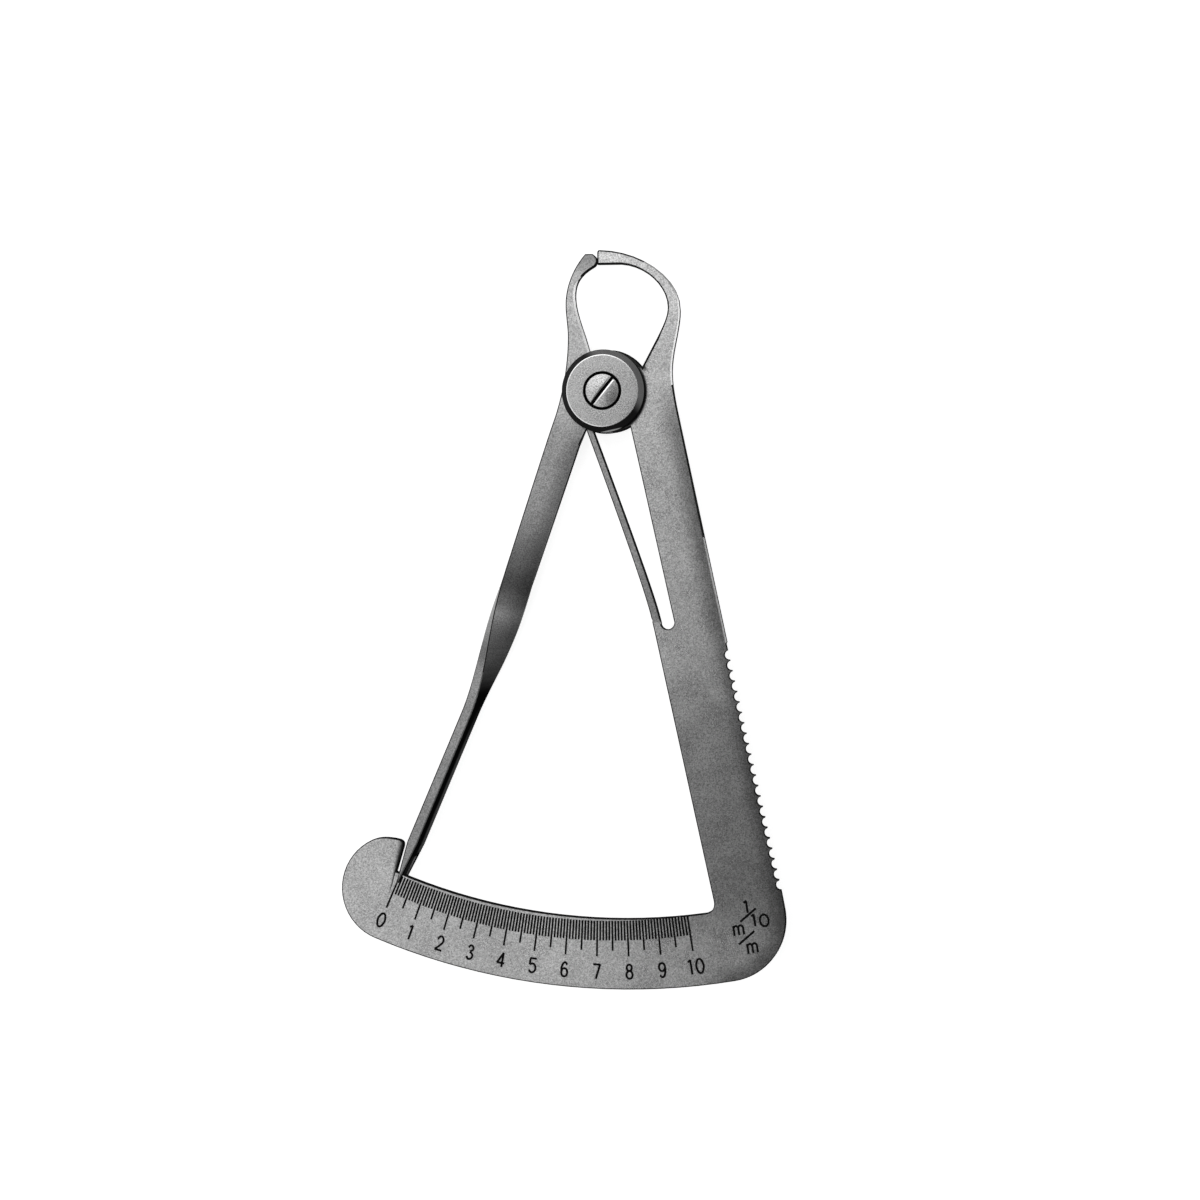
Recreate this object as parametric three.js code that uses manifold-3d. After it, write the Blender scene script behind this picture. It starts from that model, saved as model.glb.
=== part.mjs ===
// Spring caliper for measuring the thickness of dental wax patterns and crowns.
//
// Two flat steel arms turn on one pivot and don't cross. The frame plate carries
// the right jaw, the toothed grip and the arc scale; the pointer arm carries the
// left jaw, and its blade is twisted edge-on so that its forked tip straddles the
// scale plate. Squeezing the two arms together opens the jaws, and a leaf spring
// slit from the frame's inner edge pushes the pointer arm back to zero.
//
// Millimetres. The pivot's axis is Z and the rear disc's back face is z = 0.
// The jaws point to +Y, the scale to -Y, and the marked face looks to +Z.
import * as THREE from 'three';
import { mergeVertices } from 'three/addons/utils/BufferGeometryUtils.js';
import Module from 'manifold-3d';

const wasm = await Module();
wasm.setup();

// Driving dimensions: sheet and pivot stack
const plateThickness = 1.4;
const rearDiscThickness = 1.85;
const frontDiscThickness = 1.85;
const sideClearance = 0.05; // each plate face to the disc beside it
const lapClearance = 0.1; // between the two half-thickness eyes
const discRadius = 5.67;
const discChamfer = 0.7;
const eyeRadius = 4.9; // half-lap eye of each arm, hidden under the discs
const eyeClearance = 0.1; // round each eye, to the other arm's full thickness
const heelOffset = 0.68; // frame's heel beside the disc, right of the pivot
const heelFrom = 1.2; // the heel starts here, clear of the turning arm
const sleeveRadius = 2;
const sleeveWall = 0.75;
const sleeveClearance = 0.05; // eyes running on the sleeve
const threadClearance = 0.05;
const tapDepth = 1.2;
const tapEndClearance = 0.2;
const headRadius = 2.25;
const headThickness = 1.1;
const headDome = 0.3;
const headClearance = 0.33;
const driverSlotWidth = 0.6;
const driverSlotDepth = 0.7;
const driverSlotAngle = 51.5; // degrees from +X

// Driving dimensions: scale
const jawReach = 18; // pivot to where the jaws touch
const zeroAngle = 23.15; // degrees left of straight down
const scaleRange = 10; // millimetres between the jaws
const smallDivision = 0.1;
const scaleCentre = [1.8, 9.7]; // the plate's two arcs are struck from here
const scaleInnerRadius = 81.9;
const scaleWidth = 9.68; // between the two arcs
const tickStart = 0.3; // from the scale's inner edge, where that is lowest
const tickLengthSmall = 2.7;
const tickLengthHalf = 4.1;
const tickLengthWhole = 4.9;
const tickWidth = 0.2;
const tickDepth = 0.12;

// Driving dimensions: frame plate
const jawTipX = -0.95; // flat end of the right jaw
const jawTipBelow = 0.54; // the end reaches this far below the contact
const jawTipWidth = 1.93;
const jawTipRound = 0.35;
const bulge = [10.45, 11]; // widest point of the right jaw
const bulgePull = [[4.63, 19.27], [10.45, 15.87]];
const neck = [9.34, 2.7];
const neckPull = [[10.45, 8.43], [9.34, 5.44]];
const throatFoot = [4.92, 2.7]; // right jaw's inner edge, from under the front disc
const throatKnee = [7.43, 7.48];
const throatSide = [8.78, 11.44];
const throatSidePull = [[8.08, 8.8], [8.78, 10.12]];
const throatTop = [2.28, 17.46];
const throatTopPull = [[8.78, 14.23], [5.71, 17.22]];
const gripAngle = 12.15; // outer edge above the teeth, degrees from straight down
const gripStart = [10.08, -2.8];
const toothLineStart = -34.3; // y where the toothed edge begins
const toothLineAngle = 12.65;
const toothLineInset = 0.16; // the toothed edge steps in by this much
const toothPitch = 1.457;
const toothCount = 23; // scallops between the teeth
const firstScallop = 1.6; // from the start of the toothed edge
const toothRunOut = 1.05; // from the last scallop to the end of that edge
const scallopRadius = 0.64;
const scallopDepth = 0.58;
const cornerRadius = 8.4; // below the grip
const cornerAngle = 10.2; // of its centre from the arcs' centre, degrees right of straight down
const lobeRadius = 7.4; // thumb rest at the scale's left end
const lobeAngle = 21.72; // of its centre, degrees left of straight down
const lobeRoundTo = 115; // its round edge runs to here, degrees from +X
const lobeTopPull = 1.5; // then flattens towards the stop edge
const stopTop = [-27.85, -61.9]; // top of the lobe's edge beside the pointer
const stopAngle = 16.4; // of that edge, degrees from straight down
const stopCornerRound = 0.9;
const stopCornerLift = 0.225; // that round starts this far above the edge's top
const webAngle = 12.5; // inner edge below the spring, degrees from straight down
const webStart = [7.82, -36.75]; // a point on that edge
const webFillet = 1.6;
const armInnerAngle = 12.75; // inner edge beside the spring slot
const armInnerStart = [4.05, -6.67]; // a point on that edge
const armTop = -4.48; // y where that edge goes under the discs

// Driving dimensions: leaf spring
const springRoot = [7.24, -31.62];
const springPull = [[6.75, -29.2], [4.5, -22.6]];
const springTip = [-2.02, -5.13];
const springRootWidth = 1.14;
const springTipWidth = 0.88;
const springSteps = 16;

// Driving dimensions: pointer arm
const noseGap = 0.04; // between the closed jaws
const noseRound = 0.6;
const noseWidth = 1.64; // across the blunt end of the left jaw
const noseRise = 0.9; // from the contact to the end
const jawBack = [-5.34, 12]; // outer edge of the left jaw
const jawBackPull = [[-4.33, 16.96], [-5.34, 14.4]];
const stemBack = [-5.02, 7.5]; // outer edge between the jaw and the disc
const stemBackPull = [[-5.34, 10.45], [-5.02, 9.05]];
const shoulder = [-6.71, -3.13]; // outer edge beside the disc
const shoulderPull = [[-5.02, 3.75], [-5.73, -0.08]];
const armpit = [-2.3, -4.54]; // inner edge, going under the discs
const stemFoot = [-1.62, 4.2]; // inner edge, coming out from under the discs
const stemFront = [-2.62, 7.5];
const jawFront = [-4.02, 13.2]; // inner edge of the left jaw
const jawFrontPull = [[-3.32, 9.6], [-4.02, 11.4]];
const noseUnder = [-2.04, 16.77];
const noseUnderPull = [[-4.02, 15.2], [-3, 16.12]];
const noseHeel = [-1.32, 17.22];
const bladeStart = [-5.57, -6.6]; // middle of the flat arm below the pivot
const bladeAngle = 18.6; // of the flat arm, degrees from straight down
const bladeStartWidth = 4.44;
const bladeWidth = 4.2;
const bendHalfLength = 7; // of the bend into the radial line
const leanAngle = 6; // the flat arm leans by this before the twist
const leanFrom = 4; // distances along the blade from its start
const leanTo = 24;
const twistAngle = 79.2;
const twistFrom = 17.5;
const twistTo = 40;
const pointerLead = 0.14; // degrees that the blade's middle lies right of the 0 line
const tipReach = 1.4; // of the pointer's tip over the scale's inner edge
const taperLength = 6; // the blade narrows to its point over this
const tipThicknessFront = 0.14; // the front prong comes to a point
const tipThicknessRear = 0.8;
const tipWidth = 2.6; // across both prongs at the tip
const forkBefore = 2.9; // the fork opens this far before the scale's inner edge
const forkClearance = 0.12; // each side of the scale plate
const bladeSteps = 64;

// Heights in the pivot stack
const plateBottom = rearDiscThickness + sideClearance;
const plateMiddle = plateBottom + plateThickness / 2;
const plateTop = plateBottom + plateThickness;
const discFront = plateTop + sideClearance;
const faceTop = discFront + frontDiscThickness;
const shankRadius = sleeveRadius - sleeveWall - threadClearance;

// Distances from the pivot: scale's inner edge where that is lowest, pointer's tip and fork
const scaleRadius = scaleInnerRadius - scaleCentre[1];
const scaleOuterRadius = scaleInnerRadius + scaleWidth;
const tipRadius = scaleRadius + tipReach;
const forkRadius = scaleRadius - forkBefore;
const pointerAngle = zeroAngle - pointerLead;

// Modelling settings
const roundSegments = 72;
const curveSegments = 12;
const frameCurveSegments = 10;
const cutOver = 1; // cutting shapes reach this far past the faces that they cut
const weldDistance = 1e-5; // vertices closer than this are one
const tangentEnd = 0.9999; // a curve path gives no tangent at its very end

// Angle that the pointer turns to for an opening between the jaws
const turnFor = (opening) => 2 * Math.asin(opening / (2 * jawReach));
const rad = THREE.MathUtils.degToRad;
const arcCentre = new THREE.Vector2(...scaleCentre);

// Unit vector at an angle from straight down, positive to the right
const down = (angle) => new THREE.Vector2(Math.sin(angle), -Math.cos(angle));

// Manifold solids from three.js geometry, and back
function solid(geometry) {
  const bare = new THREE.BufferGeometry();
  bare.setAttribute('position', geometry.getAttribute('position'));
  if (geometry.index) bare.setIndex(geometry.index);
  const merged = mergeVertices(bare, weldDistance);
  return new wasm.Manifold(new wasm.Mesh({
    numProp: 3,
    vertProperties: new Float32Array(merged.getAttribute('position').array),
    triVerts: new Uint32Array(merged.index.array),
  }));
}

function geometryOf(manifold) {
  const mesh = manifold.getMesh();
  const geometry = new THREE.BufferGeometry();
  geometry.setAttribute('position', new THREE.BufferAttribute(mesh.vertProperties, 3));
  geometry.setIndex(new THREE.BufferAttribute(mesh.triVerts, 1));
  return geometry;
}

// A flat outline raised from one height to another
function slab(shape, low, high, segments = curveSegments) {
  const geometry = new THREE.ExtrudeGeometry(shape, {
    depth: high - low,
    bevelEnabled: false,
    curveSegments: segments,
  });
  return solid(geometry.translate(0, 0, low));
}

// A profile of [radius, height] points turned about the pivot's axis
function turned(profile) {
  const points = profile.map(([radius, height]) => new THREE.Vector2(radius, height));
  return solid(new THREE.LatheGeometry(points, roundSegments).rotateX(Math.PI / 2));
}

function cylinder(radius, low, high) {
  return turned([[0, low], [radius, low], [radius, high], [0, high]]);
}

// Where a line from a point, at an angle from straight down, meets the scale's inner arc
function reachScale(point, angle) {
  const along = down(angle);
  const start = new THREE.Vector2(...point).sub(arcCentre);
  const b = start.dot(along);
  const distance = -b + Math.sqrt(b * b - start.lengthSq() + scaleInnerRadius ** 2);
  return new THREE.Vector2(...point).addScaledVector(along, distance);
}

// Point of a circle where the line from an outside point touches it, on its right side
function touchPoint(point, centre, radius) {
  const away = point.clone().sub(centre);
  const angle = away.angle() - Math.acos(Math.min(1, radius / away.length()));
  return centre.clone().add(new THREE.Vector2(Math.cos(angle), Math.sin(angle)).multiplyScalar(radius));
}

// Adds a curve to an outline, with its two pull points and its end
function curveTo(shape, pull, end) {
  shape.bezierCurveTo(...pull[0], ...pull[1], ...end);
}

// Leaf spring: its centre line, and its edge at a distance along that line
const springLine = new THREE.CubicBezierCurve(
  new THREE.Vector2(...springRoot),
  new THREE.Vector2(...springPull[0]),
  new THREE.Vector2(...springPull[1]),
  new THREE.Vector2(...springTip),
);

function springEdge(t, side) {
  const middle = springLine.getPoint(t);
  const lean = springLine.getTangent(t).y; // cosine of the lean from the Y axis
  const width = THREE.MathUtils.lerp(springRootWidth, springTipWidth, t);
  return new THREE.Vector2(middle.x + (side * width) / (2 * lean), middle.y);
}

// The frame plate's outline, clockwise from the right jaw's tip
function frameOutline() {
  const jawTipLow = jawReach - jawTipBelow;
  const jawTipHigh = jawTipLow + jawTipWidth;
  const shape = new THREE.Shape();
  shape.moveTo(jawTipX, jawTipLow);
  shape.lineTo(jawTipX, jawTipHigh - jawTipRound);
  shape.quadraticCurveTo(jawTipX, jawTipHigh, jawTipX + jawTipRound, jawTipHigh);
  curveTo(shape, bulgePull, bulge);
  curveTo(shape, neckPull, neck);

  // neck, the grip's edge and the teeth
  const gripLine = new THREE.Vector2(...gripStart);
  const neckCorner = gripLine.y + (gripLine.x - neck[0]) / Math.tan(rad(gripAngle));
  shape.quadraticCurveTo(neck[0], neckCorner, gripLine.x, gripLine.y);
  const gripEnd = gripLine.clone().add(
    down(rad(gripAngle)).multiplyScalar((gripLine.y - toothLineStart) / Math.cos(rad(gripAngle))));
  shape.lineTo(gripEnd.x, gripEnd.y);
  const toothWay = down(rad(toothLineAngle));
  const outward = new THREE.Vector2(-toothWay.y, toothWay.x);
  const toothStart = gripEnd.clone()
    .addScaledVector(outward, -toothLineInset)
    .addScaledVector(toothWay, toothLineInset);
  shape.lineTo(toothStart.x, toothStart.y);
  const rise = scallopRadius - scallopDepth; // scallop's centre outside the edge
  const halfMouth = Math.acos(rise / scallopRadius);
  for (let i = 0; i < toothCount; i++) {
    const centre = toothStart.clone()
      .addScaledVector(toothWay, firstScallop + i * toothPitch)
      .addScaledVector(outward, rise);
    const inward = outward.angle() + Math.PI;
    shape.absarc(centre.x, centre.y, scallopRadius, inward - halfMouth, inward + halfMouth, false);
  }
  const toothLineLength = firstScallop + (toothCount - 1) * toothPitch + toothRunOut;
  const toothEnd = toothStart.clone().addScaledVector(toothWay, toothLineLength);
  shape.lineTo(toothEnd.x, toothEnd.y);

  // corner below the grip, the scale's outer edge and the thumb rest
  const cornerCentre = arcCentre.clone()
    .addScaledVector(down(rad(cornerAngle)), scaleOuterRadius - cornerRadius);
  const touch = touchPoint(toothEnd, cornerCentre, cornerRadius);
  const straightDown = -Math.PI / 2;
  shape.absarc(
    cornerCentre.x, cornerCentre.y, cornerRadius,
    touch.clone().sub(cornerCentre).angle(), straightDown + rad(cornerAngle), true);
  shape.absarc(
    arcCentre.x, arcCentre.y, scaleOuterRadius,
    straightDown + rad(cornerAngle), straightDown - rad(lobeAngle), true);
  const lobeCentre = arcCentre.clone()
    .addScaledVector(down(-rad(lobeAngle)), scaleOuterRadius - lobeRadius);
  shape.absarc(
    lobeCentre.x, lobeCentre.y, lobeRadius, straightDown - rad(lobeAngle), rad(lobeRoundTo), true);
  const stopStart = new THREE.Vector2(...stopTop);
  const roundEnd = rad(lobeRoundTo);
  shape.quadraticCurveTo(
    lobeCentre.x + lobeRadius * Math.cos(roundEnd) + lobeTopPull * Math.sin(roundEnd),
    lobeCentre.y + lobeRadius * Math.sin(roundEnd) - lobeTopPull * Math.cos(roundEnd),
    stopStart.x - stopCornerRound, stopStart.y + stopCornerLift);
  const stopWay = down(-rad(stopAngle));
  const stopFrom = stopStart.clone().addScaledVector(stopWay, stopCornerRound);
  shape.quadraticCurveTo(stopStart.x, stopStart.y, stopFrom.x, stopFrom.y);

  // stop edge, the scale's inner edge and the web up to the spring
  const stopFoot = reachScale(stopTop, -rad(stopAngle));
  shape.lineTo(stopFoot.x, stopFoot.y);
  const webFoot = reachScale(webStart, rad(webAngle));
  const filletTurn = webFillet / scaleInnerRadius;
  shape.absarc(
    arcCentre.x, arcCentre.y, scaleInnerRadius,
    stopFoot.clone().sub(arcCentre).angle(), webFoot.clone().sub(arcCentre).angle() - filletTurn, false);
  const webUp = down(rad(webAngle)).multiplyScalar(-webFillet);
  shape.quadraticCurveTo(webFoot.x, webFoot.y, webFoot.x + webUp.x, webFoot.y + webUp.y);
  const rootLeft = springEdge(0, -1);
  const webTopY = rootLeft.y - springRootWidth;
  const webTopX = webFoot.x - (webTopY - webFoot.y) * Math.tan(rad(webAngle));
  shape.lineTo(webTopX, webTopY);
  shape.lineTo(rootLeft.x, rootLeft.y);
  const rootRight = springEdge(0, 1);
  shape.lineTo(rootRight.x, rootRight.y);

  // rounded floor of the spring slot, then up the arm's inner edge and round the pivot
  const armAt = (y) => armInnerStart[0] + (armInnerStart[1] - y) * Math.tan(rad(armInnerAngle));
  const slotRadius = (armAt(rootRight.y) - rootRight.x) / 2;
  shape.absarc(rootRight.x + slotRadius, rootRight.y, slotRadius, Math.PI, 2 * Math.PI, false);
  shape.lineTo(armAt(armTop), armTop);
  shape.lineTo(0, 0);
  shape.lineTo(...throatFoot);
  shape.lineTo(...throatKnee);
  curveTo(shape, throatSidePull, throatSide);
  curveTo(shape, throatTopPull, throatTop);
  return shape;
}

// Fine divisions of the scale, cut into the front face along lines through the pivot
function tickGrooves() {
  const divisions = Math.round(scaleRange / smallDivision);
  const perWhole = Math.round(1 / smallDivision);
  const grooves = [];
  for (let i = 0; i <= divisions; i++) {
    let length = tickLengthSmall;
    if (i % (perWhole / 2) === 0) length = tickLengthHalf;
    if (i % perWhole === 0) length = tickLengthWhole;
    const turn = turnFor(i * smallDivision) - rad(zeroAngle);
    const middle = down(turn).multiplyScalar(scaleRadius + tickStart + length / 2);
    const groove = new THREE.BoxGeometry(tickWidth, length, 2 * tickDepth);
    groove.rotateZ(turn).translate(middle.x, middle.y, plateTop);
    grooves.push(solid(groove));
  }
  return grooves;
}

function framePlate() {
  let plate = slab(frameOutline(), plateBottom, plateTop, frameCurveSegments);
  const lapLow = plateMiddle + lapClearance / 2;
  const heelSide = new THREE.BoxGeometry(discRadius, 2 * discRadius, plateThickness);
  heelSide.translate(heelFrom + discRadius / 2, 0, plateMiddle);
  const heel = cylinder(discRadius, plateBottom, plateTop).translate([heelOffset, 0, 0]);
  plate = plate.add(heel.intersect(solid(heelSide)));
  plate = plate.add(cylinder(eyeRadius, lapLow, plateTop));
  plate = plate.subtract(cylinder(eyeRadius + eyeClearance, plateBottom - cutOver, lapLow));
  plate = plate.subtract(cylinder(sleeveRadius + sleeveClearance, plateBottom - cutOver, plateTop + cutOver));
  for (const groove of tickGrooves()) plate = plate.subtract(groove);
  return geometryOf(plate);
}

// Leaf spring: a tapering tongue whose rounded end bears on the pointer arm
function leafSpring() {
  const shape = new THREE.Shape();
  const steps = [...Array(springSteps + 1).keys()].map((i) => i / springSteps);
  const left = steps.map((t) => springEdge(t, -1));
  const right = steps.map((t) => springEdge(t, 1));
  const tip = springLine.getPoint(1);
  const tipRound = (right.at(-1).x - left.at(-1).x) / 2;
  shape.setFromPoints(right);
  shape.absarc(tip.x, tip.y, tipRound, 0, Math.PI, false);
  for (const point of left.reverse()) shape.lineTo(point.x, point.y);
  return geometryOf(slab(shape, plateBottom, plateTop));
}

// Blade of the pointer arm: a bar that bends into the radial line and twists edge-on
const bladeWay = down(-rad(bladeAngle));
const pointerWay = down(-rad(pointerAngle));
const bladeFrom = new THREE.Vector2(...bladeStart);

// Distance from the blade's start to the middle of the bend, where the two lines cross
const toBend = bladeFrom.cross(pointerWay) / pointerWay.cross(bladeWay);
const bend = bladeFrom.clone().addScaledVector(bladeWay, toBend);
const bendStart = bend.clone().addScaledVector(bladeWay, -bendHalfLength);
const bendEnd = bend.clone().addScaledVector(pointerWay, bendHalfLength);
const pointerTip = pointerWay.clone().multiplyScalar(tipRadius);
const bladeLine = new THREE.CurvePath();
bladeLine.add(new THREE.LineCurve(bladeFrom, bendStart));
bladeLine.add(new THREE.QuadraticBezierCurve(bendStart, bend, bendEnd));
bladeLine.add(new THREE.LineCurve(bendEnd, pointerTip));
const bladeLength = bladeLine.getLength();

// A point of the bar: distance along it, then across (-1 left, 1 right) and front (1) or back (-1)
function bladePoint(distance, across, front) {
  const t = THREE.MathUtils.clamp(distance / bladeLength, 0, 1);
  const middle = bladeLine.getPoint(t);
  const way = bladeLine.getTangent(Math.min(t, tangentEnd));
  const twist = rad(leanAngle) * THREE.MathUtils.smoothstep(distance, leanFrom, leanTo)
    + rad(twistAngle) * THREE.MathUtils.smoothstep(distance, twistFrom, twistTo);
  const taper = THREE.MathUtils.clamp((distance - bladeLength) / taperLength + 1, 0, 1);
  const fullWidth = THREE.MathUtils.lerp(
    bladeStartWidth, bladeWidth, THREE.MathUtils.clamp(distance / twistFrom, 0, 1));
  const halfWidth = THREE.MathUtils.lerp(fullWidth, tipWidth, taper) / 2;
  const tipThickness = across < 0 ? tipThicknessFront : tipThicknessRear;
  const halfThickness = THREE.MathUtils.lerp(plateThickness, tipThickness, taper) / 2;
  const u = across * halfWidth;
  const w = front * halfThickness;
  const sideways = u * Math.cos(twist) + w * Math.sin(twist);
  return new THREE.Vector3(
    middle.x - sideways * way.y,
    middle.y + sideways * way.x,
    plateMiddle - u * Math.sin(twist) + w * Math.cos(twist));
}

function blade() {
  const bar = new THREE.BoxGeometry(2, bladeLength, 2, 1, bladeSteps, 1);
  const position = bar.getAttribute('position');
  for (let i = 0; i < position.count; i++) {
    const distance = bladeLength / 2 - position.getY(i);
    const point = bladePoint(distance, position.getX(i), position.getZ(i));
    position.setXYZ(i, point.x, point.y, point.z);
  }
  const fork = new THREE.BoxGeometry(
    2 * bladeWidth, 2 * (tipRadius - forkRadius), plateThickness + 2 * forkClearance);
  fork.rotateZ(-rad(pointerAngle)).translate(pointerTip.x, pointerTip.y, plateMiddle);
  return solid(bar).subtract(solid(fork));
}

// The pointer arm's flat upper part: left jaw, eye and the start of the blade
function pointerOutline() {
  const noseX = jawTipX - noseGap;
  const noseY = Math.sqrt(jawReach ** 2 - noseX ** 2);
  const noseTop = noseY + noseRise;
  const cornerLeft = bladePoint(0, -1, 1);
  const cornerRight = bladePoint(0, 1, 1);
  const inside = bladePoint(bladeWidth / 2, 0, 1);
  const shape = new THREE.Shape();
  shape.moveTo(noseX, noseY);
  shape.quadraticCurveTo(noseX, noseY + noseRise / 2, noseX - noseRound, noseTop);
  shape.lineTo(noseX - noseWidth, noseTop);
  curveTo(shape, jawBackPull, jawBack);
  curveTo(shape, stemBackPull, stemBack);
  curveTo(shape, shoulderPull, shoulder);
  shape.lineTo(cornerLeft.x, cornerLeft.y);
  shape.lineTo(inside.x, inside.y);
  shape.lineTo(cornerRight.x, cornerRight.y);
  shape.lineTo(...armpit);
  shape.lineTo(0, 0);
  shape.lineTo(...stemFoot);
  shape.lineTo(...stemFront);
  curveTo(shape, jawFrontPull, jawFront);
  curveTo(shape, noseUnderPull, noseUnder);
  shape.lineTo(...noseHeel);
  shape.quadraticCurveTo(noseX, (noseHeel[1] + noseY) / 2, noseX, noseY);
  return shape;
}

function pointerArm() {
  const lapHigh = plateMiddle - lapClearance / 2;
  let arm = slab(pointerOutline(), plateBottom, plateTop).add(blade());
  arm = arm.add(cylinder(eyeRadius, plateBottom, lapHigh));
  arm = arm.subtract(cylinder(eyeRadius + eyeClearance, lapHigh, plateTop + cutOver));
  arm = arm.subtract(cylinder(sleeveRadius + sleeveClearance, plateBottom - cutOver, plateTop + cutOver));
  return geometryOf(arm);
}

// Pivot stack: the screw clamps the two discs on the sleeve, and the eyes turn between them
const headSeat = faceTop - headThickness;

function frontDisc() {
  const bore = shankRadius + threadClearance;
  return geometryOf(turned([
    [bore, discFront],
    [discRadius, discFront],
    [discRadius, faceTop - discChamfer],
    [discRadius - discChamfer, faceTop],
    [headRadius + headClearance, faceTop],
    [headRadius + headClearance, headSeat],
    [bore, headSeat],
    [bore, discFront],
  ]));
}

function rearDisc() {
  const tap = shankRadius + threadClearance;
  return geometryOf(turned([
    [0, 0],
    [discRadius - discChamfer, 0],
    [discRadius, discChamfer],
    [discRadius, rearDiscThickness],
    [tap, rearDiscThickness],
    [tap, rearDiscThickness - tapDepth],
    [0, rearDiscThickness - tapDepth],
  ]));
}

function pivotSleeve() {
  const bore = sleeveRadius - sleeveWall;
  return geometryOf(turned([
    [bore, rearDiscThickness],
    [sleeveRadius, rearDiscThickness],
    [sleeveRadius, discFront],
    [bore, discFront],
    [bore, rearDiscThickness],
  ]));
}

function pivotScrew() {
  const shankEnd = rearDiscThickness - tapDepth + tapEndClearance;
  const domeSteps = 6;
  const profile = [[0, shankEnd], [shankRadius, shankEnd], [shankRadius, headSeat], [headRadius, headSeat]];
  for (let i = 0; i <= domeSteps; i++) {
    const t = i / domeSteps;
    profile.push([headRadius * (1 - t), faceTop + headDome * (1 - (1 - t) ** 2)]);
  }
  const slot = new THREE.BoxGeometry(3 * headRadius, driverSlotWidth, 2 * driverSlotDepth);
  slot.rotateZ(rad(driverSlotAngle)).translate(0, 0, faceTop + headDome);
  return geometryOf(turned(profile).subtract(solid(slot)));
}

// Satin stainless steel, a little brighter on the turned pivot parts
const satin = { color: 0x9c9c9a, metalness: 0.9, roughness: 0.45 };
const turnedSteel = { color: 0xb2b2b0, metalness: 0.95, roughness: 0.35 };

function piece(name, geometry, finish) {
  geometry.computeVertexNormals();
  const mesh = new THREE.Mesh(geometry, new THREE.MeshStandardMaterial(finish));
  mesh.name = name;
  return mesh;
}

const caliper = new THREE.Group();
caliper.add(piece('frame_plate', framePlate(), satin));
caliper.add(piece('leaf_spring', leafSpring(), satin));
caliper.add(piece('pointer_arm', pointerArm(), satin));
caliper.add(piece('rear_disc', rearDisc(), turnedSteel));
caliper.add(piece('front_disc', frontDisc(), turnedSteel));
caliper.add(piece('pivot_sleeve', pivotSleeve(), turnedSteel));
caliper.add(piece('pivot_screw', pivotScrew(), turnedSteel));

export default caliper;
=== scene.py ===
"""Wax spring caliper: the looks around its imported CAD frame.

Sizes in the sections are millimetres; a finished piece's mesh is scaled to metres.
The pivot's axis is Z, the jaws point to +Y and the marked face looks to +Z.
"""
import math

import bmesh
import bpy
from mathutils import Matrix, Vector


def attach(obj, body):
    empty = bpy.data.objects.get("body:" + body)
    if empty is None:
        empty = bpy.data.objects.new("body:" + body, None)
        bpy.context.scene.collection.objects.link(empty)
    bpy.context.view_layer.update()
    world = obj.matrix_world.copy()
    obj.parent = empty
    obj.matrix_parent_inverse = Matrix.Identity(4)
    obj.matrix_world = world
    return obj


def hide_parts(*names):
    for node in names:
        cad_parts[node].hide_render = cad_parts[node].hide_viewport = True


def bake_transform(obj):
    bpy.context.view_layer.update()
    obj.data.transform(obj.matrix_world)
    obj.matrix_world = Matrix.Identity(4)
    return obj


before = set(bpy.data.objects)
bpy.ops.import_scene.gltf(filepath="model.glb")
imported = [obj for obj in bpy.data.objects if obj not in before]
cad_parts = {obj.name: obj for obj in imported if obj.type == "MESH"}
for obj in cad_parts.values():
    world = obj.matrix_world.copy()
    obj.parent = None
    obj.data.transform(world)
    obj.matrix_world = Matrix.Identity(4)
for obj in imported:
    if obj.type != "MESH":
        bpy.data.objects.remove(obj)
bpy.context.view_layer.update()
MM = 0.001

# Camera. The photo looks almost straight down on the marked face, from 8.2 degrees
# to the right of square, so that walls facing right just show.
look_at = Vector((-0.55355, -28.55886, 3.3)) * MM
view_distance = 400 * MM
view_yaw = math.radians(8.2)
camera_data = bpy.data.cameras.new("camera")
camera_data.lens = 87.591
camera_data.clip_start = 10 * MM
camera_data.clip_end = 20
camera = bpy.data.objects.new("camera", camera_data)
camera.location = look_at + Vector((math.sin(view_yaw), 0, math.cos(view_yaw))) * view_distance
camera.rotation_euler = (0, view_yaw, 0)
bpy.context.scene.collection.objects.link(camera)
bpy.context.scene.camera = camera
bpy.context.scene.view_settings.view_transform = "Standard"

# Floor. A plain pale sheet; the camera and reflections see it near white, and it keeps
# the tool's soft shadow. Low over it the camera and reflections see a pale backdrop too.
floor_size = 6000
floor_glow = 0.85
floor_colour = (0.5, 0.5, 0.5, 1)
world_grey = 0.128
backdrop_glow = 0.432
backdrop_foot, backdrop_top = 0.4, 0.8


def combine(tree, operation, first, second):
    """A Math node's result; each input is a socket or a number."""
    node = tree.nodes.new("ShaderNodeMath")
    node.operation = operation
    for slot, value in zip(node.inputs, (first, second)):
        if isinstance(value, (int, float)):
            slot.default_value = value
        else:
            tree.links.new(value, slot)
    return node.outputs[0]


def ramp(tree, value, low, high, to_low=0, to_high=1, kind="SMOOTHSTEP"):
    """A step of value from to_low at low to to_high at high, smooth or else LINEAR."""
    node = tree.nodes.new("ShaderNodeMapRange")
    node.interpolation_type = kind
    tree.links.new(value, node.inputs["Value"])
    for slot, number in zip(("From Min", "From Max", "To Min", "To Max"), (low, high, to_low, to_high)):
        node.inputs[slot].default_value = number
    return node.outputs["Result"]


def seen_directly(tree):
    """1 for camera, glossy and transmission rays, else 0."""
    path = tree.nodes.new("ShaderNodeLightPath").outputs
    seen = combine(tree, "MAXIMUM", path["Is Camera Ray"], path["Is Glossy Ray"])
    return combine(tree, "MAXIMUM", seen, path["Is Transmission Ray"])


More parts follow.
